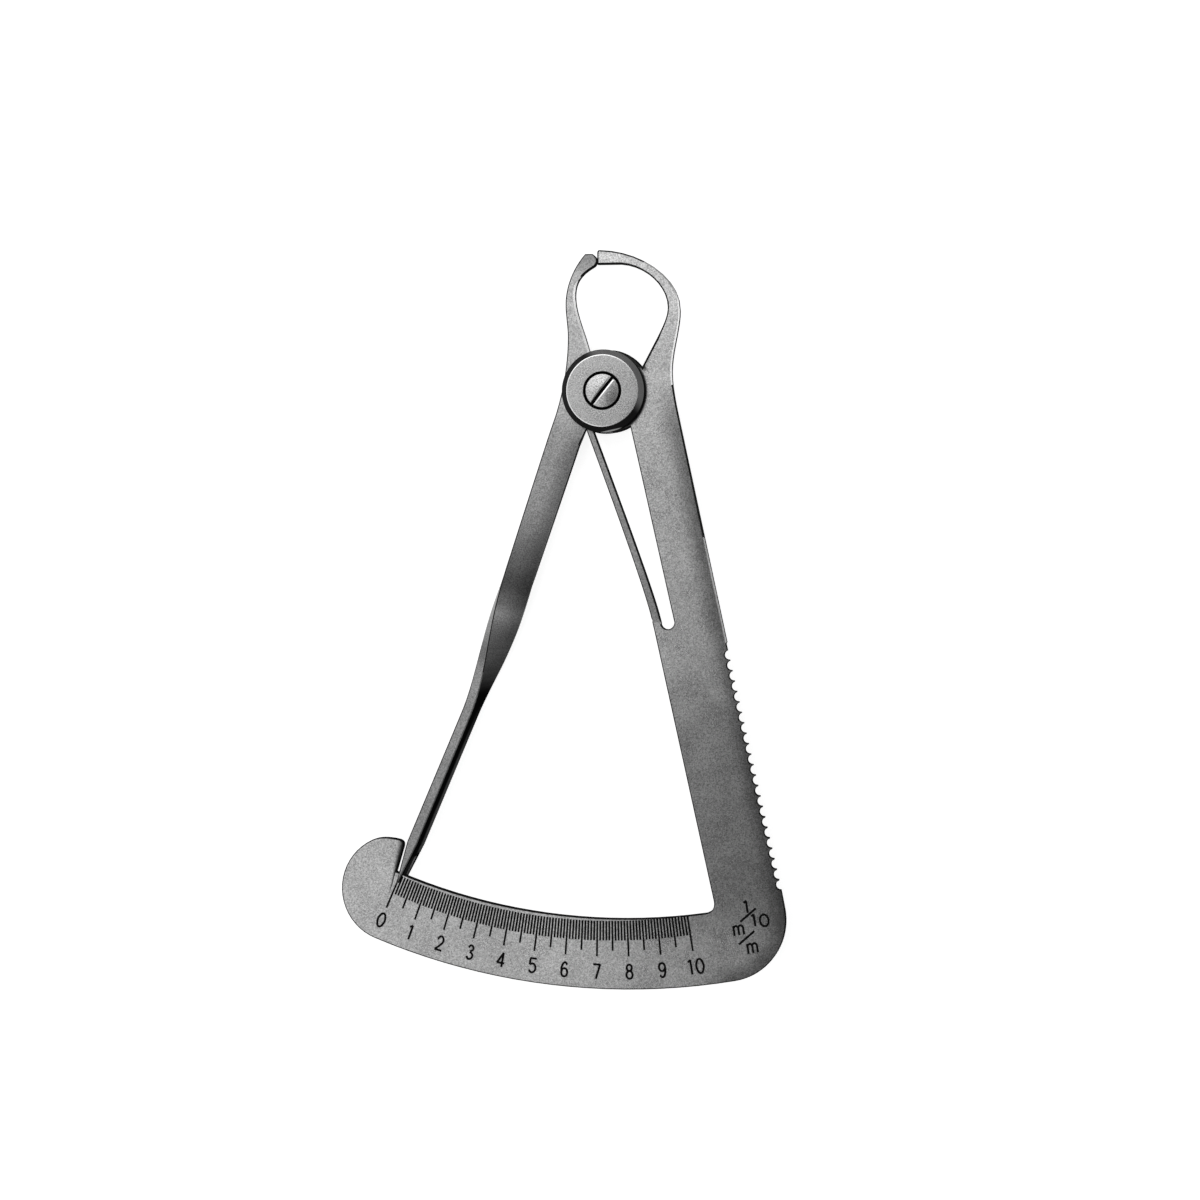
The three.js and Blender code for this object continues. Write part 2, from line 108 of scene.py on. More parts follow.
floor_bm = bmesh.new()
bmesh.ops.create_grid(floor_bm, x_segments=1, y_segments=1, size=floor_size * MM / 2)
floor_mesh = bpy.data.meshes.new("floor")
floor_bm.to_mesh(floor_mesh)
floor_bm.free()
floor = bpy.data.objects.new("floor", floor_mesh)
bpy.context.scene.collection.objects.link(floor)
floor_material = bpy.data.materials.new("pale floor")
floor_material.use_nodes = True
tree = floor_material.node_tree
tree.nodes.clear()
floor_out = tree.nodes.new("ShaderNodeOutputMaterial")
floor_paper = tree.nodes.new("ShaderNodeBsdfDiffuse")
floor_paper.inputs["Color"].default_value = floor_colour
floor_light = tree.nodes.new("ShaderNodeEmission")
floor_strength = combine(tree, "MULTIPLY", seen_directly(tree), floor_glow)
tree.links.new(floor_strength, floor_light.inputs["Strength"])
floor_sum = tree.nodes.new("ShaderNodeAddShader")
tree.links.new(floor_paper.outputs[0], floor_sum.inputs[0])
tree.links.new(floor_light.outputs[0], floor_sum.inputs[1])
tree.links.new(floor_sum.outputs[0], floor_out.inputs["Surface"])
floor_mesh.materials.append(floor_material)

world = bpy.data.worlds.new("studio")
bpy.context.scene.world = world
world.use_nodes = True
tree = world.node_tree
tree.nodes.clear()
world_out = tree.nodes.new("ShaderNodeOutputWorld")
world_air = tree.nodes.new("ShaderNodeBackground")
world_air.inputs["Color"].default_value = (1, 1, 1, 1)
direction = tree.nodes.new("ShaderNodeSeparateXYZ")
tree.links.new(tree.nodes.new("ShaderNodeTexCoord").outputs["Generated"], direction.inputs[0])
backdrop = ramp(tree, direction.outputs["Z"], backdrop_foot, backdrop_top, backdrop_glow, 0)
backdrop = combine(tree, "MULTIPLY", seen_directly(tree), backdrop)
tree.links.new(combine(tree, "ADD", backdrop, world_grey), world_air.inputs["Strength"])
tree.links.new(world_air.outputs[0], world_out.inputs["Surface"])

# Lamps. A soft box hangs close over the tool's left side, where the flat faces mirror it, so
# that the tool darkens toward its right edge; smaller ones light the jaws and the right edges.


def soft_box(name, centre, size, radiance, turn):
    """An area lamp at centre (mm) facing down, turned about Z by degrees, as bright as radiance says."""
    data = bpy.data.lights.new(name, "AREA")
    data.shape = "RECTANGLE"
    data.size = size[0] * MM
    data.size_y = size[1] * MM
    data.energy = radiance * math.pi * data.size * data.size_y
    lamp = bpy.data.objects.new(name, data)
    lamp.location = Vector(centre) * MM
    lamp.rotation_euler = (0, 0, math.radians(turn))
    bpy.context.scene.collection.objects.link(lamp)


soft_box("main soft box", centre=(-232, 12, 290), size=(430, 620), radiance=1.0, turn=-10)
soft_box("jaw soft box", centre=(-60, 140, 285), size=(210, 180), radiance=0.85, turn=0)
soft_box("right soft box", centre=(125, 0, 290), size=(80, 200), radiance=0.7, turn=0)
soft_box("low right strip", centre=(330, -20, 330), size=(180, 420), radiance=1.5, turn=0)

# Frame plate. One flat sheet of satin stainless steel with the right jaw, the toothed
# grip and the arc scale; stamped, its outer edge ground to a narrow facet.
plate_low, plate_high = 1.9, 3.3
facet_width = 0.2
facet_gap = (-20, 1)
outer_x, jaw_y, jaw_x = 9, 10, 2
plain_edge = 0.14
jaw_line = 0.2
heel_line, heel_low, heel_top, heel_over = 0.34, 2, 9, 5
tooth_edge = 0.06
tooth_top = -33.5
hidden_radius = 5.75
spring_root = Vector((7.24, -31.62))
eye_recess_radius = 5.0
eye_recess_top = 2.65
bore_radius = 2.05
wall_climb = 1.3
root_gap = 0.62
grip_from_x, teeth_end = 13, -69.5
arc_centre = Vector((1.8, 9.7))
scale_inner_radius = 81.9
scale_top = -68
last_marks_x, notch_reach = (8, 12.5), (0.03, 6)
square = 6
finish_slots = 4
sharp_edge = math.radians(35)
wall_tilt = 0.3


def cad_copy(node):
    """A welded copy of a CAD node's mesh, in millimetres."""
    bm = bmesh.new()
    bm.from_mesh(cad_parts[node].data)
    bmesh.ops.scale(bm, vec=(1 / MM,) * 3, verts=bm.verts)
    bmesh.ops.remove_doubles(bm, verts=bm.verts, dist=1e-3)
    return bm


def with_modifiers(bm, *settings):
    """The bmesh after the given modifiers, each (type, {property: value})."""
    mesh = bpy.data.meshes.new("working")
    bm.to_mesh(mesh)
    bm.free()
    for _ in range(finish_slots):
        mesh.materials.append(None)
    working = bpy.data.objects.new("working", mesh)
    bpy.context.scene.collection.objects.link(working)
    for kind, values in settings:
        modifier = working.modifiers.new(kind, kind)
        for key, value in values.items():
            setattr(modifier, key, value)
    bpy.context.view_layer.update()
    depsgraph = bpy.context.evaluated_depsgraph_get()
    result = bmesh.new()
    result.from_object(working, depsgraph)
    bpy.data.objects.remove(working)
    bpy.data.meshes.remove(mesh)
    return result


def cutter(bm, slot=0):
    """An object to cut with, removed by cut(); its walls get that material slot."""
    for face in bm.faces:
        face.material_index = slot
    mesh = bpy.data.meshes.new("cutter")
    bm.to_mesh(mesh)
    bm.free()
    for _ in range(finish_slots):
        mesh.materials.append(None)
    tool = bpy.data.objects.new("cutter", mesh)
    bpy.context.scene.collection.objects.link(tool)
    return tool


def cut(bm, *tools):
    """The bmesh with each tool's volume taken away."""
    for tool in tools:
        bm = with_modifiers(bm, ("BOOLEAN", {
            "operation": "DIFFERENCE", "object": tool, "solver": "MANIFOLD", "material_mode": "INDEX"}))
        bpy.data.objects.remove(tool)
    return bm


def make_piece(name, bm, body, node, materials, sharp=20):
    """Turns a millimetre bmesh into the finished piece that stands for a CAD node."""
    bmesh.ops.scale(bm, vec=(MM,) * 3, verts=bm.verts)
    mesh = bpy.data.meshes.new(name)
    bm.to_mesh(mesh)
    bm.free()
    for material in materials:
        mesh.materials.append(material)
    mesh.shade_smooth()
    mesh.set_sharp_from_angle(angle=math.radians(sharp))
    piece = bpy.data.objects.new(name, mesh)
    bpy.context.scene.collection.objects.link(piece)
    even = piece.modifiers.new("even normals", "WEIGHTED_NORMAL")
    even.keep_sharp = True
    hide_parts(node)
    if body:
        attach(piece, body)
    return piece


grain_scale, grain_depth = 6500, 0.03
stain_scale = 260
noise_span = (0.3, 0.7)
gloss_span = 0.06


def satin_steel(name, grey, rough=0.35, grain=0.3, stains=0.1, bump=0.3):
    """Blasted stainless steel: fine grain and soft stains in its grey, its gloss and its relief."""
    material = bpy.data.materials.new(name)
    material.use_nodes = True
    nodes, links = material.node_tree.nodes, material.node_tree.links
    steel = nodes["Principled BSDF"]
    steel.inputs["Metallic"].default_value = 1
    place = nodes.new("ShaderNodeTexCoord")
    fine = nodes.new("ShaderNodeTexNoise")
    fine.inputs["Scale"].default_value = grain_scale
    fine.inputs["Detail"].default_value = 2
    wide = nodes.new("ShaderNodeTexNoise")
    wide.inputs["Scale"].default_value = stain_scale
    wide.inputs["Detail"].default_value = 4
    for noise in (fine, wide):
        links.new(place.outputs["Object"], noise.inputs["Vector"])
    speck, cloud = fine.outputs["Fac"], wide.outputs["Fac"]
    light = ramp(material.node_tree, speck, *noise_span, grey * (1 - grain), grey * (1 + grain), "LINEAR")
    stain = ramp(material.node_tree, cloud, *noise_span, 1 - stains, 1 + stains, "LINEAR")
    tone = combine(material.node_tree, "MULTIPLY", light, stain)
    colour = nodes.new("ShaderNodeCombineColor")
    for channel in ("Red", "Green", "Blue"):
        links.new(tone, colour.inputs[channel])
    links.new(colour.outputs["Color"], steel.inputs["Base Color"])
    gloss = ramp(material.node_tree, cloud, 0, 1, rough - gloss_span, rough + gloss_span, "LINEAR")
    links.new(gloss, steel.inputs["Roughness"])
    relief = nodes.new("ShaderNodeBump")
    relief.inputs["Strength"].default_value = bump
    relief.inputs["Distance"].default_value = grain_depth * MM
    links.new(speck, relief.inputs["Height"])
    links.new(relief.outputs["Normal"], steel.inputs["Normal"])
    return material


plate_steel = satin_steel("satin plate", 0.46, rough=0.28, grain=0.46, stains=0.12)
cut_steel = satin_steel("cut edge", 0.02, rough=0.8, grain=0.15, stains=0.2)
# a lighter copy of the sheet's steel: painted highlight on the ground facet
facet_highlight_steel = satin_steel("ground facet, painted highlight", 0.7, rough=0.28, grain=0.2, stains=0.1)

# the walls are matt black: partly the stamped cut's rough dark edge, mostly painted shade for dark outlines
cut_shader = cut_steel.node_tree.nodes["Principled BSDF"].inputs
cut_shader["Metallic"].default_value = 0
cut_shader["Specular IOR Level"].default_value = 0


def object_xy(tree):
    """The shaded point's own x and y in millimetres."""
    spot = tree.nodes.new("ShaderNodeSeparateXYZ")
    tree.links.new(tree.nodes["Texture Coordinate"].outputs["Object"], spot.inputs[0])
    return [combine(tree, "DIVIDE", spot.outputs[axis], MM) for axis in ("X", "Y")]


def dim(tree, share):
    """Multiplies a satin steel's grey by a share."""
    for channel in tree.nodes["Combine Color"].inputs:
        if channel.is_linked:
            tree.links.new(combine(tree, "MULTIPLY", channel.links[0].from_socket, share), channel)


def distance_past(tree, x, y, point, outward):
    """How far (mm) x, y lies past the line through point that is square to outward."""
    return combine(
        tree, "ADD", combine(tree, "MULTIPLY", combine(tree, "SUBTRACT", x, point[0]), outward[0]),
        combine(tree, "MULTIPLY", combine(tree, "SUBTRACT", y, point[1]), outward[1]))


# painted shade darkens the sheet in places: down its outer edge and round the corner below it,
# beside the stop edge as the blade's shadow, and on the heel and in a thin ring as the disc's shadow;
# the sheet is also darker down the web and toward the scale's left end
grip_point, grip_outward = (16.86, -34.3), (0.9767, 0.2147)
corner_centre, corner_radius, corner_rise = (16.53, -72.17), 8.4, 1.8
edge_reach, edge_most = (0.2, 3.2), 0.55
edge_from_x, edge_from_y = (13, 18), (2, -6)
stop_point, stop_outward = (-27.85, -61.9), (0.959, -0.282)
stop_reach, stop_most = (0.15, 1), 0.95
stop_foot, stop_side = (-70, -68), (-25, -26)
wedge_low, wedge_top, wedge_thin, wedge_wide = -69, -61, 0.2, 1.1
heel_reach, heel_from_y, heel_most = (6.4, 6.9), (2.4, 3.4), 0.95
ring_reach, ring_most = (5.8, 6.1), 0.9
web_top, web_low, web_least, web_most = -34, -50, 0.08, 0.38
web_foot, web_head, web_side = (-76, -69), (10, -2), (-6, 8)
scale_side, scale_most = (-8, -15), 0.17
tree = plate_steel.node_tree
x, y = object_xy(tree)
# painted shade down the outer edge and round the corner below it
to_grip = combine(tree, "MULTIPLY", distance_past(tree, x, y, grip_point, grip_outward), -1)
past_right = combine(tree, "MAXIMUM", combine(tree, "SUBTRACT", x, corner_centre[0]), 0)
below = combine(tree, "MINIMUM", combine(tree, "SUBTRACT", y, corner_centre[1]), 0)
to_corner = combine(tree, "SUBTRACT", corner_radius, combine(tree, "SQRT", combine(
    tree, "ADD", combine(tree, "POWER", past_right, 2), combine(tree, "POWER", below, 2)), 0))
low_down = combine(tree, "LESS_THAN", y, corner_centre[1] + corner_rise)
higher = combine(tree, "SUBTRACT", 1, low_down)
to_edge = combine(
    tree, "ADD", combine(tree, "MULTIPLY", to_corner, low_down), combine(tree, "MULTIPLY", to_grip, higher))
up_the_arm = combine(tree, "MULTIPLY", higher, ramp(tree, y, *edge_from_y))
edge_shade = combine(tree, "MULTIPLY", ramp(tree, to_edge, *edge_reach, edge_most, 0), combine(
    tree, "MAXIMUM", ramp(tree, x, *edge_from_x), up_the_arm))
# painted shadow of the blade, in a wedge beside the stop edge
above_foot = combine(tree, "MULTIPLY", ramp(tree, y, *stop_foot), ramp(tree, x, *stop_side))
wedge_width = ramp(tree, y, wedge_low, wedge_top, wedge_thin, wedge_wide)
wedge_depth = combine(tree, "DIVIDE", combine(
    tree, "MULTIPLY", distance_past(tree, x, y, stop_point, stop_outward), -1), wedge_width)
beside_stop = combine(tree, "MULTIPLY", combine(tree, "GREATER_THAN", wedge_depth, 0), above_foot)
stop_shadow = combine(tree, "MULTIPLY", ramp(tree, wedge_depth, *stop_reach, stop_most, 0), beside_stop)
# painted shadow of the disc, on the heel and in a thin ring round it
from_pivot = combine(tree, "SQRT", combine(
    tree, "ADD", combine(tree, "POWER", x, 2), combine(tree, "POWER", y, 2)), 0)
heel_shadow = combine(
    tree, "MULTIPLY", ramp(tree, from_pivot, *heel_reach, heel_most, 0), ramp(tree, y, *heel_from_y))
heel_shadow = combine(tree, "MAXIMUM", heel_shadow, ramp(tree, from_pivot, *ring_reach, ring_most, 0))
painted_shade = combine(tree, "MAXIMUM", combine(tree, "MAXIMUM", edge_shade, stop_shadow), heel_shadow)
# darker down the web and toward the scale's left end
web_mark = combine(
    tree, "MULTIPLY", ramp(tree, y, web_top, web_low, web_least, web_most), ramp(tree, y, *web_foot))
web_mark = combine(tree, "MULTIPLY", web_mark, combine(
    tree, "MULTIPLY", ramp(tree, y, *web_head), ramp(tree, x, *web_side)))
web_mark = combine(tree, "MAXIMUM", web_mark, ramp(tree, x, *scale_side, 0, scale_most))
# the painted shade and the darker web dim the sheet's grey
clear_of_painted_shade = combine(tree, "SUBTRACT", 1, painted_shade)
dim(tree, combine(tree, "MULTIPLY", clear_of_painted_shade, combine(tree, "SUBTRACT", 1, web_mark)))


def eased(bm, widest, width_at):
    """The sheet with its edges chamfered, half as deep as wide, by width_at(middle, outward)."""
    bm.normal_update()
    weight = bm.edges.layers.float.new("bevel_weight_edge")
    for edge in bm.edges:
        climb = abs(edge.verts[0].co.z - edge.verts[1].co.z)
        if edge.calc_face_angle() < sharp_edge or climb > wall_climb:
            continue
        middle = (edge.verts[0].co + edge.verts[1].co) / 2
        wall = min(edge.link_faces, key=lambda f: abs(f.normal.z))
        edge[weight] = width_at(middle, wall.normal) / widest
    bmesh.ops.scale(bm, vec=(1, 1, 2), verts=bm.verts)
    # the chamfers take the third material, the walls' matt black, as painted shade along the edges
    bm = with_modifiers(bm, ("BEVEL", {
        "limit_method": "WEIGHT", "width": widest, "segments": 1, "profile": 0.5,
        "use_clamp_overlap": False, "material": 2}))
    bmesh.ops.scale(bm, vec=(1, 1, 0.5), verts=bm.verts)
    bmesh.ops.dissolve_degenerate(bm, edges=bm.edges, dist=1e-3)
    return bm


def darken_walls(bm):
    """Gives a sheet's upright cut edges the third material, matt black: the stamped cut's rough edge, with
    painted shade.
    """
    bm.normal_update()
    for face in bm.faces:
        if face.material_index == 0 and abs(face.normal.z) < wall_tilt:
            face.material_index = 2


# the front face's outline becomes one flat face, drawn out to the sheet's thickness; where
# the last marks run out through the scale's inner edge, that edge is closed again
plate = cad_copy("frame_plate")
hidden_faces = [f for f in plate.faces if min(v.co.z for v in f.verts) < plate_high - 0.01]
bmesh.ops.delete(plate, geom=hidden_faces, context="FACES")
rims = [e for e in plate.edges if e.is_boundary]
start = max((v for e in rims for v in e.verts), key=lambda v: v.co.y)
outline = set()
waiting = [start]
while waiting:
    vert = waiting.pop()
    for edge in vert.link_edges:
        if edge.is_boundary and edge not in outline:
            outline.add(edge)
            waiting.append(edge.other_vert(vert))
kept = {v for e in outline for v in e.verts}
bmesh.ops.delete(plate, geom=list(plate.faces), context="FACES_ONLY")
bmesh.ops.delete(plate, geom=[e for e in plate.edges if e not in outline], context="EDGES")
bmesh.ops.delete(plate, geom=[v for v in plate.verts if v not in kept], context="VERTS")
bmesh.ops.remove_doubles(plate, verts=plate.verts, dist=0.02)
loop = bmesh.ops.contextual_create(plate, geom=list(plate.edges))["faces"][0]
ring = []
for vert in loop.verts:
    past_arc = (vert.co.xy - arc_centre).length - scale_inner_radius
    if not (last_marks_x[0] < vert.co.x < last_marks_x[1] and notch_reach[0] < past_arc < notch_reach[1]):
        ring.append(vert.co.copy())
for place in ring:
    outward = place.xy - arc_centre
    if place.y < scale_top and abs(outward.length - scale_inner_radius) < notch_reach[0]:
        place.xy = arc_centre + outward.normalized() * scale_inner_radius
plate.clear()
corners = []
for place, following in zip(ring, ring[1:] + ring[:1]):
    corners.append(plate.verts.new(place))
    outer = min(place.x, following.x) > outer_x
    if outer and (place.y - facet_gap[0]) * (following.y - facet_gap[0]) < 0:
        share = (facet_gap[0] - place.y) / (following.y - place.y)
        corners.append(plate.verts.new(place.lerp(following, share)))
face = plate.faces.new(corners)
face.normal_update()
if face.normal.z < 0:
    face.normal_flip()
grown = bmesh.ops.extrude_face_region(plate, geom=[face])["geom"]
bmesh.ops.translate(
    plate, vec=(0, 0, plate_low - plate_high), verts=[g for g in grown if isinstance(g, bmesh.types.BMVert)])
bmesh.ops.recalc_face_normals(plate, faces=plate.faces)


def is_facet(middle, outward):
    """Whether an edge or face is on the ground facet of the jaw's and the lower arm's outer side."""
    outer = (middle.y > jaw_y and middle.x > jaw_x) or middle.x > outer_x
    worn = facet_gap[0] < middle.y < facet_gap[1]
    return outward.x > 0.2 and outer and middle.y > tooth_top and not worn


def frame_edge_width(middle, outward):
    """Chamfer width along the sheet's edges: a facet down the outer side, fine elsewhere."""
    if middle.xy.length < hidden_radius or (middle.xy - spring_root).length < root_gap:
        return 0
    if is_facet(middle, outward):
        return facet_width
    if middle.x > grip_from_x and teeth_end < middle.y <= tooth_top:
        return tooth_edge
    if middle.y < heel_low:
        return plain_edge
    heel = min(1, max(0, (heel_top - middle.y) / heel_over)) if outward.x < 0 else 0
    return jaw_line + (heel_line - jaw_line) * heel


plate = eased(plate, heel_line, frame_edge_width)
plate.normal_update()
# the ground facet takes the lighter copy, a painted highlight
for face in plate.faces:
    if face.material_index == 2 and is_facet(face.calc_center_median(), face.normal):
        face.material_index = 3

# the wide faces are split into squares, which the cutting below keeps well shaped


def slice_across(bm, axis, places):
    """Splits the bmesh's faces where planes square to an axis stand at the given places."""
    for place in places:
        point, normal = [0, 0, 0], [0, 0, 0]
        point[axis], normal[axis] = place, 1
        bmesh.ops.bisect_plane(
            bm, geom=list(bm.verts) + list(bm.edges) + list(bm.faces), plane_co=point, plane_no=normal,
            dist=1e-4)


slice_across(plate, 0, range(-36, 24, square))
slice_across(plate, 1, range(-81, 18, square))

recess = bmesh.new()
bmesh.ops.create_cone(
    recess, cap_ends=True, segments=96, radius1=eye_recess_radius, radius2=eye_recess_radius,
    depth=2 * (eye_recess_top - plate_low), matrix=Matrix.Translation((0, 0, plate_low)))
bore = bmesh.new()
bmesh.ops.create_cone(
    bore, cap_ends=True, segments=64, radius1=bore_radius, radius2=bore_radius,
    depth=4, matrix=Matrix.Translation((0, 0, plate_high)))
plate = cut(plate, cutter(recess), cutter(bore))

# Scale marks. The 101 divisions are cut with one cutter, and the numbers 0 to 10 and the unit mark
# stroke by stroke; all are engraved and filled black.
jaw_reach = 18
zero_angle = math.radians(23.15)
tick_inner_radius = 72.5
tick_lengths = (2.7, 4.1, 4.9)
tick_width = 0.27
tick_depth = 0.12
number_radius = 79.25
number_drift = 0.03
number_size = (0.87, 1.93)
digit_pitch = 1.28
stroke_width = 0.31
stroke_sides = 12

# black for the engraving's fill, and as painted shade on the discs' walls, in the head's recess and in the
# screw's slot
ink_and_painted_shade = bpy.data.materials.new("engraving black and painted shade")
ink_and_painted_shade.use_nodes = True
ink_shader = ink_and_painted_shade.node_tree.nodes["Principled BSDF"].inputs
ink_shader["Base Color"].default_value = (0.01, 0.01, 0.01, 1)
ink_shader["Roughness"].default_value = 0.8
ink_shader["Specular IOR Level"].default_value = 0

# strokes in a box one wide and one high: kind, then points
figures = {
    "0": [("ring", (0, 1), (0.5, 0.7), (0.5, 0.3), (0, 0), (-0.5, 0.3), (-0.5, 0.7))],
    "1": [("line", (-0.3, 0.88), (0.08, 1), (0.08, 0))],
    "2": [("round", (-0.5, 0.74), (-0.02, 1), (0.46, 0.72), (0.2, 0.42), (-0.54, 0)),
          ("line", (-0.54, 0), (0.54, 0))],
    "3": [("round", (-0.42, 0.82), (0, 1), (0.38, 0.77), (-0.05, 0.55)),
          ("round", (-0.05, 0.55), (0.48, 0.28), (0, 0), (-0.48, 0.17))],
    "4": [("line", (0.24, 0), (0.24, 1), (-0.56, 0.27), (0.56, 0.27))],
    "5": [("line", (0.5, 1), (-0.42, 1), (-0.46, 0.56)),
          ("round", (-0.46, 0.56), (0.05, 0.63), (0.52, 0.32), (0, 0), (-0.52, 0.13))],
    "6": [("ring", (0, 0.57), (0.48, 0.28), (0, 0), (-0.48, 0.28)),
          ("round", (0.42, 0.84), (0.02, 1), (-0.4, 0.75), (-0.48, 0.28))],
    "7": [("line", (-0.52, 1), (0.52, 1), (-0.12, 0))],
    "8": [("ring", (0, 1), (0.4, 0.78), (0, 0.55), (-0.4, 0.78)),
          ("ring", (0, 0.55), (0.48, 0.28), (0, 0), (-0.48, 0.28))],
    "9": [("ring", (0, 0.43), (0.48, 0.72), (0, 1), (-0.48, 0.72)),
          ("round", (-0.42, 0.16), (-0.02, 0), (0.4, 0.25), (0.48, 0.72))],
    "m": [("line", (-0.5, 0), (-0.5, 1)),
          ("round", (-0.5, 0.85), (-0.22, 1), (0, 0.8)), ("line", (0, 0.8), (0, 0)),
          ("round", (0, 0.85), (0.28, 1), (0.5, 0.8)), ("line", (0.5, 0.8), (0.5, 0))],
    "/": [("line", (-0.5, 0), (0.5, 1))],
    "o": [("ring", (0, 1), (0.5, 0.5), (0, 0), (-0.5, 0.5))],
}


def straight_bar(start, end):
    """A round bar from start to end (mm), a little longer so that bars join at corners."""
    along = end - start
    bar = bmesh.new()
    bmesh.ops.create_cone(
        bar, cap_ends=True, segments=stroke_sides, radius1=stroke_width / 2, radius2=stroke_width / 2,
        depth=along.length + stroke_width / 3,
        matrix=Matrix.Translation((start + end) / 2) @ along.to_track_quat("Z", "Y").to_matrix().to_4x4())
    return bar


def curved_bar(knots, closed):
    """A round bar along a smooth curve through the knots (mm)."""
    curve = bpy.data.curves.new("stroke", "CURVE")
    curve.dimensions = "3D"
    curve.bevel_depth = stroke_width / 2
    curve.bevel_resolution = 4
    curve.use_fill_caps = True
    spline = curve.splines.new("BEZIER")
    spline.bezier_points.add(len(knots) - 1)
    spline.use_cyclic_u = closed
    spline.resolution_u = 6
    for point, knot in zip(spline.bezier_points, knots):
        point.co = knot
        point.handle_left_type = point.handle_right_type = "AUTO"
    stroke = bpy.data.objects.new("stroke", curve)
    bpy.context.scene.collection.objects.link(stroke)
    bpy.context.view_layer.update()
    mesh = bpy.data.meshes.new_from_object(stroke.evaluated_get(bpy.context.evaluated_depsgraph_get()))
    bar = bmesh.new()
    bar.from_mesh(mesh)
    bmesh.ops.remove_doubles(bar, verts=bar.verts, dist=1e-4)
    bmesh.ops.recalc_face_normals(bar, faces=bar.faces)
    bpy.data.objects.remove(stroke)
    bpy.data.meshes.remove(mesh)
    return bar


def engrave(figure, centre, size, lean):
    """Round bars to cut a figure's strokes with, at centre (mm), turned by lean."""
    bars = []
    turn = Matrix.Rotation(lean, 2)
    for kind, *points in figures[figure]:
        knots = []
        for across, up in points:
            place = Vector(centre) + turn @ Vector((across * size[0], (up - 0.5) * size[1]))
            knots.append(Vector((place.x, place.y, plate_high + 0.01)))
        if kind == "line":
            bars += [cutter(straight_bar(start, end), 1) for start, end in zip(knots, knots[1:])]
        else:
            bars.append(cutter(curved_bar(knots, kind == "ring"), 1))
    return bars


marks = bmesh.new()
for division in range(101):
    opening = division / 10
    turn = 2 * math.asin(opening / (2 * jaw_reach)) - zero_angle
    length = tick_lengths[0]
    if division % 5 == 0:
        length = tick_lengths[1]
    if division % 10 == 0:
        length = tick_lengths[2]
    middle = tick_inner_radius + length / 2
    place = Matrix.Rotation(turn, 4, "Z") @ Matrix.Translation((0, -middle, plate_high))
    shape = Matrix.Diagonal((tick_width, length, 2 * tick_depth, 1))
    bmesh.ops.create_cube(marks, size=1, matrix=place @ shape)

numbers = []
for number in range(11):
    turn = 2 * math.asin(number / (2 * jaw_reach)) - zero_angle
    text = str(number)
    for i, figure in enumerate(text):
        offset = (i - (len(text) - 1) / 2) * digit_pitch
        spot = Matrix.Rotation(turn, 2) @ Vector((offset, -number_radius - number * number_drift))
        numbers += engrave(figure, spot, number_size, turn)

# the unit mark: figure, centre, size and lean
unit_lean = math.radians(9.5)
for figure, centre, size, lean in (
        ("1", (19.55, -70.3), (0.87, 1.6), unit_lean),
        ("/", (19.8, -71.4), (2.05, 1.8), 0),
        ("1", (20.6, -72.1), (0.8, 1.55), unit_lean),
        ("o", (22.0, -72.1), (1.15, 1.6), unit_lean),
        ("m", (18.5, -73.5), (1.3, 1.25), unit_lean),
        ("/", (19.6, -74.5), (2.05, 1.8), 0),
        ("m", (20.4, -75.9), (1.3, 1.25), unit_lean)):
    numbers += engrave(figure, centre, size, lean)
plate = cut(plate, cutter(marks, 1), *numbers)
darken_walls(plate)
frame_finishes = [plate_steel, ink_and_painted_shade, cut_steel, facet_highlight_steel]
make_piece("frame_sheet", plate, "frame", "frame_plate", frame_finishes)

# Leaf spring. A tongue slit from the plate's inner edge, bearing on the pointer arm beside the pivot;
# the real one bends when the arm turns, and here it is sliced across along its length.
root_reach = 0.75
spring = cad_copy("leaf_spring")
bmesh.ops.dissolve_limit(spring, angle_limit=math.radians(0.05), verts=spring.verts, edges=spring.edges)


def spring_edge_width(middle, outward):
    """Chamfer width along the tongue, none at its root."""
    return 0 if (middle.xy - spring_root).length < root_reach else plain_edge


spring = eased(spring, plain_edge, spring_edge_width)
slice_across(spring, 1, range(-31, -3))
# the tongue is cut from the plate's own steel; its darker grey is painted shade
tongue_shaded_steel = satin_steel("tongue steel, painted shade", 0.27, rough=0.3, grain=0.42, stains=0.1)
darken_walls(spring)
spring_finishes = [tongue_shaded_steel, ink_and_painted_shade, cut_steel]
spring_piece = make_piece("spring_tongue", spring, None, "leaf_spring", spring_finishes)
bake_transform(spring_piece)

# Pointer arm. The left jaw and the flat upper arm are one sheet with the blade, which is
# twisted edge-on, bent into the radial line and slit at its tip.
arm_steel = satin_steel("satin arm", 0.4, rough=0.34, grain=0.42, stains=0.1)
# a darker copy of the arm's steel: painted shade on the twisted faces that lean left
blade_edge_shaded_steel = satin_steel("blade edge", 0.23, rough=0.34, grain=0.42, stains=0.1)
flank_steel = satin_steel("blade flank", 0.4, rough=0.34, grain=0.42, stains=0.1)
jaw_edge = 0.28
nose_start = 15.5
blade_edge = 0.15
arm_top, jaw_low = -8, 6
twist_end = -36
fork_start = -60
# the flank's painted shade fades in below the twist's start; a lighter strip runs along its lower edge
flank_shade_start, flank_shade_grows = -31, 10
lit_strip_from_z, lit_strip_share = (2.6 * MM, 1.8 * MM), 0.14
lit_strip_top, lit_strip_foot = (-42 * MM, -52 * MM), (-64 * MM, -63 * MM)
# painted shade down the arm's right edge
side_point, side_outward = (-2.7, -5.4), (0.946, -0.324)
side_reach, side_from_y, side_most = (0, 3.2), (-4, -8), 0.5
# darker toward the jaw's nose
nose_top, nose_most = 18, 0.42
